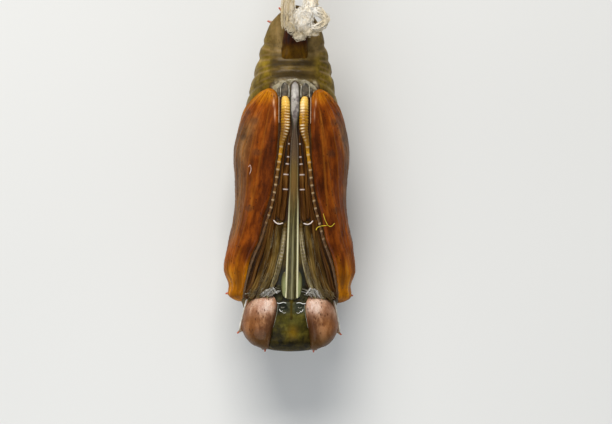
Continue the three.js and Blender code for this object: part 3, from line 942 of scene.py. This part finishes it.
def proboscis():
    """Two pale tubes with a ribbed strip between them, which run together and then widen to a round tip."""
    loops, s, turn = limb(
        1, 2.6, 13.45, np.zeros_like, PROBOSCIS_HALF, lambda s: 0.1, 400, 32, 0.05, (0.01, 0.03)
    )
    place = np.abs(np.cos(turn))
    cells = 0.5 + 0.5 * rumple(loops, 0.13, 61)
    furrows = bell(place, 0.5, 0.22) * fade(s, 7, 8.6) * (0.35 + 0.5 * cells)
    weights = {
        "across": np.cos(turn) * 0.25,
        "along": s,
        "dark": np.clip(furrows + smoothstep(s, 13.15, 13.4) * 0.7, 0, 1),
        "pale": bell(s, 12.85, 0.26) * bell(np.cos(turn), 0.0, 0.6) * (0.25 + 0.6 * cells),
        "mottled": smoothstep(s, 10.6, 11.6) * (1 - 0.6 * smoothstep(s, 12.5, 12.8)) * 0.8,
        "rail": bell(place, 0.0, 0.15) * fade(s, 5, 7) * 0.3,
        "tan": bell(s, 8.4, 1.3) * 0.85,
        "violet": smoothstep(s, 8.8, 9.8) * 0.9,
        "tip": smoothstep(s, 10.9, 12.4) * (0.6 + 0.3 * cells),
    }
    return piece("proboscis", [*map(rail, SIDES.values()), (loops, weights)], proboscis_finish())


def dome(x, s, radii, lift=0.0, rows=24, cols=36):
    """An oval dome of the belly, half sunk in it: radii across, along and out."""
    x, s = np.array(float(x)), np.array(float(s))
    ahead, up = np.array([0.0, 1.0, 0.0]), outward(x, s)
    across = np.cross(ahead, up)
    polar = np.linspace(0.03, np.pi - 0.03, rows)[:, None, None]
    turn = turns(cols)[None, :, None]
    rx, ry, rz = radii
    flank = across * np.cos(turn) * rx + up * np.sin(turn) * rz
    return belly(x, s, lift) - ahead * np.cos(polar) * ry + flank * np.sin(polar)


def palp(side):
    """A pale green feeler beside the root of the proboscis, which darkens outward and fades at its tip."""
    loops = dome(0.35 * side, 3.4, (0.165, 0.66, 0.15), rows=44)
    x, s = np.abs(loops[..., 0]), loops[..., 1] - HEAD_Y
    green = (1 - 0.95 * smoothstep(s, 3.35, 4.0)) * (1 - 0.55 * smoothstep(x, 0.36, 0.5))
    green = green * (0.85 + 0.15 * rumple(loops, 0.15, 62))
    return loops, {"palp": green, "along": s, "across": x * 2 * side}


def limbs():
    leg_skin, antenna_skin = limb_finish(), antenna_finish()
    for name, side in SIDES.items():
        piece("antenna_" + name, [antenna(side)], antenna_skin)
        piece("legs_" + name, legs(side), leg_skin)
    proboscis()
    piece("palps", [palp(side) for side in SIDES.values()], proboscis_finish())


# ---- The head ----


def eye(side):
    """A swollen oval whose inner side is a straight wall along the head plate."""
    rows, cols = 130, 140
    middle_s, half_length, widest_z, rise = 1.53, 1.44, 4.12, 1.15
    t = -np.cos(np.linspace(0.05, np.pi - 0.05, rows))[:, None]
    s = middle_s + half_length * t
    inner = EYE_INNER_X(s) - 0.03 + 0.25 * np.abs(t) ** 40
    middle, half = (inner + EYE_OUTER_X(s)) / 2, (EYE_OUTER_X(s) - inner) / 2
    turn = turns(cols)[None, :]
    sine, cosine = np.sin(turn), np.cos(turn)
    steep = np.where(cosine < 0, 0.3, 0.95)
    x = middle + signed_power(cosine, steep) * half
    height = rise * (1 - np.abs(t) ** np.where(t < 0, 3, 5)) ** (1 / 2.3)
    z = widest_z + signed_power(sine, 0.88) * height - 0.1 * (x - middle)
    s = np.broadcast_to(s, x.shape)
    loops = np.stack([x * side, HEAD_Y + s, z], -1)
    away = unit(loops - spot(1.54, 1.5, 4.1, side))
    bulge = 0.014 * rumple(loops, 0.6, 21) + 0.006 * rumple(loops, 0.2, 22)
    from_wall = x - inner
    glare_x = 1.1 if side > 0 else 1.34
    weights = {
        # pale: the upper eye paler, partly its own pinkish tone and partly a painted highlight
        "pale": smoothstep(s, 1.5, 2.3) * (1 - 0.6 * smoothstep(from_wall, 0.9, 2.1)) * 0.62,
        # bright: a painted highlight on the upper eye, centred at glare_x
        "bright": plateau(np.hypot((x - glare_x) / 0.36, (s - 2.3) / 0.34)) * 0.5,
        "low": fade(s, 0.3, 1.3) * 0.85,
        # inner: painted shade, darker low along the wall where the eye meets the head plate
        "inner": fade(from_wall, 0.15, 0.75) * bell(s, 1.2, 0.65) * 0.85,
        "warm": smoothstep(from_wall, 0.5, 1.1) * fade(s, 1.4, 2.4) * 0.6,
        "reddish": fade(from_wall, 0.03, 0.15) * smoothstep(s, 1.0, 1.7) * 0.6,
    }
    return loops + bulge[..., None] * away, weights


def brow(side):
    """The clear ridge outside an eye: a thin blade that grows out of the eye's skin, with a pale crest."""
    rows, sides = 70, 28
    line = (
        (2.1, 2.78, 4.46), (2.22, 2.42, 4.37), (2.35, 2.0, 4.27), (2.48, 1.4, 4.14), (2.51, 1.05, 4.06),
        (2.53, 0.9, 3.98),
    )
    crest = spline([spot(*place, side) for place in line], rows)
    up = unit(crest - spot(1.54, 1.6, 4.0, side))
    t = np.linspace(0, 1, rows)
    loops = tube(crest - 0.19 * up, 0.022 * rounded(t), 0.18 * rounded(t), up, sides)
    at_crest = smoothstep(np.sin(turns(sides)), 0.5, 0.85)[None, :]
    warm = smoothstep(t, 0.82, 1)[:, None] * 0.8
    return loops, {"bright": at_crest * 0.35, "skin": 1 - at_crest, "warm": warm}


def head_plate():
    """The face between the eyes: an olive shield with a glassy top, and the dark root of the proboscis."""
    rows, cols = 120, 72
    v = np.linspace(0, 1, rows)[:, None]
    s = 0.09 + v * 2.42
    turn = turns(cols)[None, :]
    x = (EYE_INNER_X(s) + 0.04) * np.cos(turn)
    lifted = signed_power(np.sin(turn), 0.6)
    s = np.broadcast_to(s, x.shape)
    flat = belly(x, s)
    hollow = bell(s, 2.2, 0.22) * bell(np.abs(x), 0.42, 0.2)
    relief = 0.02 * rumple(flat, 0.4, 31) + 0.012 * rumple(flat, 0.15, 32) - 0.02 * hollow
    raised = 0.06 * lifted * rounded(v, (0.02, 0.06)) + relief * (lifted > 0)
    corner = smoothstep(np.abs(np.cos(turn)), 0.4, 0.95) * fade(s, 0.5, 1.7)
    weights = {
        "yellow": np.exp(-(np.hypot((x - 0.1) / 0.24, (s - 0.95) / 0.36) ** 2)) * 0.6,
        "green": bell(s, 1.55, 0.3) * bell(x, 0.1, 0.5) * 0.5,
        "shaded": np.clip(corner * 0.95 + fade(s, 0.4, 0.95) * 0.9, 0, 1),
        "glass": smoothstep(s, 1.75, 2.15) * (0.85 - 0.5 * bell(x, 0.0, 0.17)),
    }
    root = belly_line([(0, 1.55), (0, 2.0), (0, 2.5), (0, 3.0)], 0.13, -0.055, sides=24)
    parts = [(belly(x, s, raised), weights), (root, {"yellow": 0.2, "shaded": 0.6})]
    for side in SIDES.values():
        parts.append((dome(0.62 * side, 2.9, (0.24, 0.5, 0.1)), {"glass": 0.6, "shaded": 0.4}))
    return piece("head_plate", parts, plate_finish())


FACE_RODS = (  # each one's points, radius, lift and darkness
    (((0.24, 2.44), (0.4, 2.47), (0.56, 2.42), (0.7, 2.44)), 0.018, 0.09, 0.0),
    (((0.26, 1.98), (0.34, 1.94), (0.44, 2.0)), 0.014, 0.07, 0.1),
    (((0.42, 2.06), (0.5, 2.02), (0.58, 2.14)), 0.016, 0.07, 0.0),
    (tuple((EYE_INNER_X(s) - 0.02, s) for s in (2.6, 2.1, 1.6, 1.2)), 0.009, 0.07, 0.4),
    (((0.9, 3.22), (0.8, 3.06), (0.68, 2.9)), 0.026, 0.17, 0.0),
    (((1.0, 3.14), (0.89, 3.0), (0.79, 2.87)), 0.016, 0.2, 0.1),
    (((0.32, 2.24), (0.42, 2.2), (0.5, 2.24)), 0.014, 0.06, 0.35),
)
LEFT_FACE_ROD = (((1.7, 2.86), (1.94, 2.9), (2.2, 2.84)), 0.016, 0.12, 0.3)


def face_lines():
    """The pale edges in the clear skin at the top of the face, and the small glints beside the proboscis."""
    parts = []
    for side, rods in ((SIDES["right"], FACE_RODS), (SIDES["left"], (*FACE_RODS, LEFT_FACE_ROD))):
        for points, radius, lift, dark in rods:
            rod = belly_line(points, radius, lift, side=side)
            parts.append((rod, {"dark": dark, "bright": float(dark == 0)}))
    return piece("face_lines", parts, pale_finish())


LEG_HAIRS, WRINKLES = 46, 110  # on each side


def fan_path(u, s):
    """Where lines over the legs run: u is 0 on the inner edge of the forelegs and 3 outside the hind ones."""
    inner, fore, middle, hind, outer = (path(s) for path in FAN)
    edges = (inner, (fore + middle) / 2, (middle + hind) / 2, outer)
    i = min(int(u), 2)
    return edges[i] + (edges[i + 1] - edges[i]) * (u - i)


def leg_hair(random, side):
    """A fine hair that drifts a little as it runs up the legs."""
    u, start = random.uniform(0.05, 2.2), random.uniform(2.7, 5.2)
    s = np.linspace(start, min(start + random.uniform(0.4, 1.4), 6.3), 6)
    drift = np.linspace(0, random.normal(0, 0.2), 6)
    points = [(float(fan_path(np.clip(u + d, 0, 2.9), at)), at) for d, at in zip(drift, s)]
    line = belly_line(points, random.uniform(0.005, 0.01), random.uniform(0.15, 0.2), 18, 4, side)
    return line, {"olive": random.uniform(0.2, 1.0)}


def wrinkle(random, side):
    """A short hooked line of the clear wrinkled skin between an eye and the legs."""
    x = 0.85 + 1.2 * random.random() ** 1.3
    s = 2.93 - 0.1 * (x - 0.8) + random.uniform(-0.12, 0.1)
    sweep, length = random.uniform(0.02, 0.34) * (2.3 - x), random.uniform(0.05, 0.3)
    points = [(x - sweep, s + length), (x - sweep * 0.4, s + length * 0.7), (x, s), (x + 0.08, s - 0.08)]
    line = belly_line(points, random.uniform(0.006, 0.014), random.uniform(0.14, 0.24), 14, 4, side)
    olive = random.uniform(0.2, 0.6) + 0.5 * (x > 1.3)
    return line, {"olive": olive, "pale": random.random() ** 2 * (x < 1.5)}


def hairs():
    """Fine hairs that run up the legs from the eyes, and the clear wrinkled skin where they start."""
    random = np.random.default_rng(8)
    parts = []
    for side in SIDES.values():
        parts += [leg_hair(random, side) for _ in range(LEG_HAIRS)]
        parts += [wrinkle(random, side) for _ in range(WRINKLES)]
    return piece("face_hairs", parts, hair_finish())


def head():
    eye_skin = eye_finish()
    for name, side in SIDES.items():
        piece("eye_" + name, [eye(side)], eye_skin)
    piece("brow_ridges", [brow(side) for side in SIDES.values()], pale_finish())
    head_plate()
    face_lines()
    hairs()


# ---- Spikes, collar and stalk ----

BACK_SPIKES = (  # the station of each pair, and how far from the middle they stand
    (1.9, 0.5), (4, 0.85), (5.3, 0.7), (6.5, 0.75), (7.5, 0.85), (8.6, 0.95),
    (9.85, 0.95), (11.2, 0.9), (12.55, 0.82), (13.8, 0.7), (14.95, 0.55), (16, 0.4),
)
STANDING_SPIKES = (4, 8.6, 9.85)  # stations of the pairs whose tips reach the surface
SIDE_SPIKES = (  # horns, brows, shoulders and tail: each one's root, direction, length, base and amber
    (1.2, 0.16, 4.1, (0.06, -1, 0), 0.19, 0.15, 0.0),
    (2.5, 0.95, 3.9, (1, -0.9, 0), 0.14, 0.1, 0.0),
    (2.98, 2.85, 3.3, (1, -0.2, 0), 0.22, 0.2, 1.0),
    (1.22, 16.35, 4.0, (1, 0.35, 0.1), 0.17, 0.12, 0.0),
    (0.72, 16.95, 4.3, (0.8, 0.8, 0.1), 0.17, 0.12, 0.0),
)


def spike(root, direction, length, base, tip=0.05, amber=0.0):
    """A blunt spike with a flared foot and a red tip."""
    rows, sides, sunk, blunt_from = 22, 14, 0.15, 0.9
    t = np.linspace(0, 1, rows)
    direction = unit(np.array(direction, float))
    centres = np.array(root) + direction * (t[:, None] * (length + sunk) - sunk)
    blunt = np.sqrt(np.clip(1 - ((t - blunt_from) / (1 - blunt_from)) ** 2, 0.03, 1))
    radius = (tip + (base - tip) * (1 - t) ** 1.7) * np.where(t > blunt_from, blunt, 1)
    up = np.cross(direction, [0.3, 0.5, 0.81])
    loops = tube(centres, radius, radius, np.broadcast_to(up, centres.shape), sides)
    return loops, {"red": smoothstep(t, 0.35, 0.8)[:, None] * 0.9, "amber": amber}


def spikes():
    """The two rows along the back, three pairs of which it stands on, and the ones on the head and sides."""
    back, head_and_sides = [], []
    for s, x in BACK_SPIKES:
        for side in SIDES.values():
            angle = (math.pi - math.asin(min(1, x / float(HALF_WIDTH(s))))) * side
            root = skin(s, angle)
            if s in STANDING_SPIKES:
                back.append(spike(root, (0, 0, -1), root[2], 0.24, 0.07))
            else:
                back.append(spike(root, root - skin(s, angle, -1), 0.27, 0.22))
    for side in SIDES.values():
        for x, s, z, (aside, ahead, up), length, base, amber in SIDE_SPIKES:
            root = spot(x, s, z, side)
            head_and_sides.append(spike(root, (aside * side, ahead, up), length, base, 0.04, amber))
    horn = spike_finish()
    piece("back_spikes", back, horn)
    piece("head_and_side_spikes", head_and_sides, horn)


def collar():
    """The clear rim over the wing tips, with the dark empty tips of the antenna cases under it."""
    rows, half_width, thick = 90, 0.14, 0.035
    x = np.linspace(-1.16, 1.16, rows)
    s = 13.38 - 0.45 * (np.abs(x) / 1.07) ** 2.6
    size = rounded(np.linspace(0, 1, rows), (0.15, 0.15))
    rim = tube(belly(x, s, -0.02), half_width * size, thick * size, outward(x, s), 24)
    patches = rumple(rim, 0.16, 71)
    rim = rim + np.array([0, 0.02, 0.006]) * (patches + rumple(rim, 0.07, 72))[..., None]
    parts = [(rim, {"haze": 0.82 - 0.3 * patches})]

    def line(points, radius, lift, side=1, **weights):
        parts.append((belly_line(points, radius, lift, side=side), weights))

    for side in SIDES.values():
        parts.append((dome(0.5 * side, 12.98, (0.19, 0.36, 0.1), 0.02), {"dark": 0.88}))
        parts.append((dome(0.8 * side, 12.86, (0.09, 0.22, 0.07), 0.03), {"dark": 0.9}))
        line([(0.5, 13.32), (0.45, 13.24), (0.47, 13.12)], 0.05, 0.08, side, haze=0.3)
        for at, radius, haze in ((0.29, 0.022, 0.25), (0.7, 0.02, 0.45)):
            line([(at, 12.6), (at - 0.01, 12.9), (at * 0.9 + 0.05, 13.2)], radius, 0.1, side, haze=haze)
        line([(0.76, at) for at in (11.3, 11.8, 12.3, 12.65)], 0.02, 0.1, side, warm=0.7, dark=0.3)
    half_arch = [(0.24, 12.7), (0.23, 13.0), (0.17, 13.25)]
    line([*((-x, s) for x, s in half_arch), (0, 13.4), *half_arch[::-1]], 0.05, 0.08, dark=1.0)
    return piece("collar", parts, pale_finish())


def stalk():
    """The flattened stalk that leaves the belly's last rings at a slant, with the silk on its tip."""
    rows, sides, flatness = 70, 72, 0.58
    root_half, tip_half = 0.66, 0.4
    root, tip = spot(0, 14.66, 4.26), spot(0, 16.5, 5.5)
    t = np.linspace(0, 1, rows)
    half = (root_half + (tip_half - root_half) * t**2) * rounded(t, (0.008, 0.12))
    up = np.broadcast_to(np.cross([1, 0, 0], unit(tip - root)), (rows, 3))
    centres = root + (tip - root) * t[:, None]
    loops = tube(centres, half, half * flatness, up, sides, 0.5)
    ribs = 0.08 * rumple(loops, 0.4, 5) + 0.03 * rumple(loops, 0.15, 6)
    loops = loops + (loops - centres[:, None]) * ribs[..., None]
    turn = turns(sides)[None, :]
    weights = {"burnt": smoothstep(t, 0.25, 0.5)[:, None], "across": np.cos(turn), "along": t[:, None] * 2}
    return piece("stalk", [(loops, weights)], stalk_finish())


# ---- The silk and what clings to the skin ----

SILK_LUMPS = (  # the middle and the radii of each
    (0.22, 16.36, 5.52, 0.56, 0.62, 0.54), (0.5, 16.7, 5.56, 0.34, 0.5, 0.42),
    (0.52, 15.88, 5.55, 0.38, 0.32, 0.36), (0.14, 15.68, 5.42, 0.34, 0.3, 0.36),
    (-0.2, 16.2, 5.4, 0.4, 0.5, 0.42), (0.86, 15.74, 5.55, 0.26, 0.14, 0.2),
    (0.66, 17.2, 5.45, 0.36, 0.56, 0.42), (-0.42, 17.1, 5.4, 0.3, 0.76, 0.42),
    (0.2, 17.88, 5.4, 0.6, 0.18, 0.38),
)
SILK_LOOP = (
    (0.72, 16.0, 5.7), (1.12, 16.06, 5.8), (1.43, 16.42, 5.8), (1.1, 16.8, 5.75), (0.7, 16.96, 5.65),
)
SILK_CORE = (0.42, 16.7)  # where the silk is whitest
LOOP_STRANDS, WANDERING_THREADS, LONG_THREADS = 95, 1050, 60


def thread(centres, radius, random):
    """A thin rod with an uneven line, which thins out at its ends."""
    t = np.linspace(0, 1, len(centres))
    wander = random.normal(0, radius * 0.5, centres.shape)
    up = np.broadcast_to(unit(random.normal(0, 1, 3)), centres.shape)
    return tube(centres + wander, radius * rounded(t), radius * rounded(t), up, 4)


def silk_lump(x, s, z, *radii):
    """A rough ball of matted silk."""
    rows, cols = 36, 48
    polar = np.repeat(np.linspace(0.05, np.pi - 0.05, rows)[:, None], cols, 1)
    turn = turns(cols)[None, :]
    ball = np.stack([np.sin(polar) * np.cos(turn), -np.cos(polar), np.sin(polar) * np.sin(turn)], -1)
    rough = 0.86 + 0.13 * rumple(ball, 0.6, 41) + 0.09 * rumple(ball, 0.25, 42) + 0.05 * rumple(ball, 0.1, 43)
    return spot(x, s, z) + ball * radii * rough[..., None]


def wandering_thread(random, x, s, z, *radii):
    """A thread that creeps over a lump and now and then leaves it."""
    points = [unit(random.normal(0, 1, 3))]
    heading = unit(random.normal(0, 1, 3) + [0, 0.4, 0.2])
    for _ in range(random.integers(3, 7)):
        heading = unit(heading + random.normal(0, 0.4, 3))
        step = points[-1] + heading * 0.45
        reach = np.linalg.norm(step)
        points.append(step / reach * np.clip(reach, 0.84, 1.0 + 0.3 * random.random() ** 3))
    line = spot(x, s, z) + np.array(points) * radii
    radius = random.choice([0.006, 0.01, 0.017], p=[0.45, 0.4, 0.15])
    return thread(spline(line, 13), radius, random)


def long_thread(random):
    """A thread that runs along the left side of the tuft, up towards its end."""
    x, s = random.uniform(-0.76, -0.12), random.uniform(15.9, 16.6)
    z = random.uniform(5.3, 5.8)
    rise = random.uniform(0.6, 1.4)
    half_way = spot(x + random.normal(0, 0.04), s + rise * 0.5, z)
    end = spot(x + random.normal(0, 0.08), s + rise, z - 0.1)
    return thread(spline([spot(x, s, z), half_way, end], 16), random.uniform(0.01, 0.026), random)


def silk():
    """A matted heart of lumps, a loop of strands beside it, and threads that wander over and out of it."""
    random = np.random.default_rng(17)
    parts = []

    def add(loops, tan=0.0, hollow=0.0):
        x, s = loops[..., 0], loops[..., 1] - HEAD_Y
        # tan grows away from the whitest core: a warm tone that is partly painted shade towards the tuft's
        # edges
        from_core = np.hypot(x - SILK_CORE[0], (s - SILK_CORE[1]) * 0.8)
        tan = np.clip(smoothstep(from_core, 0.3, 0.95) * 0.75 + tan, 0, 1)
        parts.append((loops, {"tan": tan, "hollow": hollow}))

    # The lumps are painted darker, as painted shade in the gaps between the threads over them.
    for lump in SILK_LUMPS:
        add(silk_lump(*lump), hollow=0.6)
    loop = np.array([spot(*place) for place in SILK_LOOP])
    for _ in range(LOOP_STRANDS):
        strand = spline(loop + random.normal(0, 0.09, loop.shape), 30)
        add(thread(strand, random.choice([0.01, 0.02, 0.03]), random))
    bulk = np.array([rx * ry for *_, rx, ry, _ in SILK_LUMPS])
    for _ in range(WANDERING_THREADS):
        lump = SILK_LUMPS[random.choice(len(SILK_LUMPS), p=bulk / bulk.sum())]
        add(wandering_thread(random, *lump), 0.4 * (random.random() < 0.3))
    for _ in range(LONG_THREADS):
        add(long_thread(random), random.uniform(0.0, 0.5))
    return piece("silk_threads", parts, silk_finish(), ["silk_tuft"])


def clinging():
    """A forked yellow fibre by the right antenna, and a small pale curl on the left wing case."""
    lines = [
        [(1.33, 6.9), (1.42, 6.6), (1.56, 6.3)],
        [(1.88, 6.42), (1.72, 6.26), (1.56, 6.3)],
        [(1.56, 6.3), (1.3, 6.28), (1.1, 6.2), (1.02, 6.05)],
    ]
    fibres = [(belly_line(points, 0.017, 0.3, 30, 6), {}) for points in lines]
    piece("yellow_fibre", fibres, fibre_finish("yellow_fibre", (176, 150, 8), (220, 196, 40)))
    curl = belly_line([(-1.98, 8.75), (-1.92, 9.0), (-1.96, 9.22), (-2.04, 9.12)], 0.016, 0.27, 30, 6)
    piece("pale_curl", [(curl, {})], fibre_finish("pale_curl", (190, 150, 130), (226, 196, 180)))


# ---- Light, floor and camera ----

PHOTO_WIDTH_MM = 30.6  # what the camera sees across, at the height of the sides
LENS, SENSOR = 200.0, 36.0
TARGET = Vector((0.78, -2.07, 3.0))  # at the middle of the view
TILT = math.radians(3.6)  # the camera stands this far to the left of straight above
ROLL = math.radians(1.0)
FLOOR_HALF = 400
SKY, SKY_STRENGTH = (0.92, 0.95, 1.0, 1), 0.3


def camera():
    """The view that the chrysalis is seen in, from a little left of straight above."""
    made = bpy.data.objects.new("camera", bpy.data.cameras.new("camera"))
    made.data.lens, made.data.sensor_width = LENS, SENSOR
    made.data.clip_start, made.data.clip_end = 0.001, 10
    ahead = Vector((0, 1, 0))
    back = Vector((-math.sin(TILT), 0, math.cos(TILT)))
    turned_right = ahead.cross(back) * math.cos(ROLL) + ahead * math.sin(ROLL)
    axes = Matrix((turned_right, back.cross(turned_right), back)).transposed().to_4x4()
    distance = PHOTO_WIDTH_MM * LENS / SENSOR
    made.matrix_world = Matrix.Translation((TARGET + back * distance) * MM) @ axes
    bpy.context.scene.collection.objects.link(made)
    bpy.context.scene.camera = made


def lamp(name, at, size, watts, colour):
    """A soft square light, in millimetres, that faces the chrysalis."""
    made = bpy.data.objects.new(name, bpy.data.lights.new(name, "AREA"))
    made.data.shape, made.data.size = "SQUARE", size * MM
    made.data.energy, made.data.color = watts, colour
    made.location = Vector(at) * MM
    made.rotation_euler = (TARGET - Vector(at)).to_track_quat("-Z", "Y").to_euler()
    bpy.context.scene.collection.objects.link(made)


def stage():
    """The paper it lies on, the sky, and its two lights."""
    half = FLOOR_HALF * MM
    mesh = bpy.data.meshes.new("floor")
    corners = [(-half, -half, 0), (half, -half, 0), (half, half, 0), (-half, half, 0)]
    mesh.from_pydata(corners, [], [(0, 1, 2, 3)])
    paper = Finish("floor_paper", 0.85, PAPER_IOR)
    tone = paper.noise((0.02, 0.02, 0.02), detail=2)
    mesh.materials.append(paper.finished(paper.ramp(tone, (0.3, 208, 208, 206), (0.7, 216, 216, 214))))
    floor = bpy.data.objects.new("floor", mesh)
    bpy.context.scene.collection.objects.link(floor)
    world = bpy.data.worlds.new("studio")
    world.use_nodes = True
    sky = world.node_tree.nodes["Background"].inputs
    sky["Color"].default_value, sky["Strength"].default_value = SKY, SKY_STRENGTH
    bpy.context.scene.world = world
    bpy.context.scene.view_settings.view_transform = "Standard"
    lamp("key", (-30, 135, 120), 110, 0.39, (1.0, 0.97, 0.92))
    lamp("fill", (-50, -85, 120), 120, 0.11, (0.93, 0.97, 1.0))


body()
wings()
limbs()
head()
spikes()
collar()
stalk()
silk()
clinging()
stage()
camera()
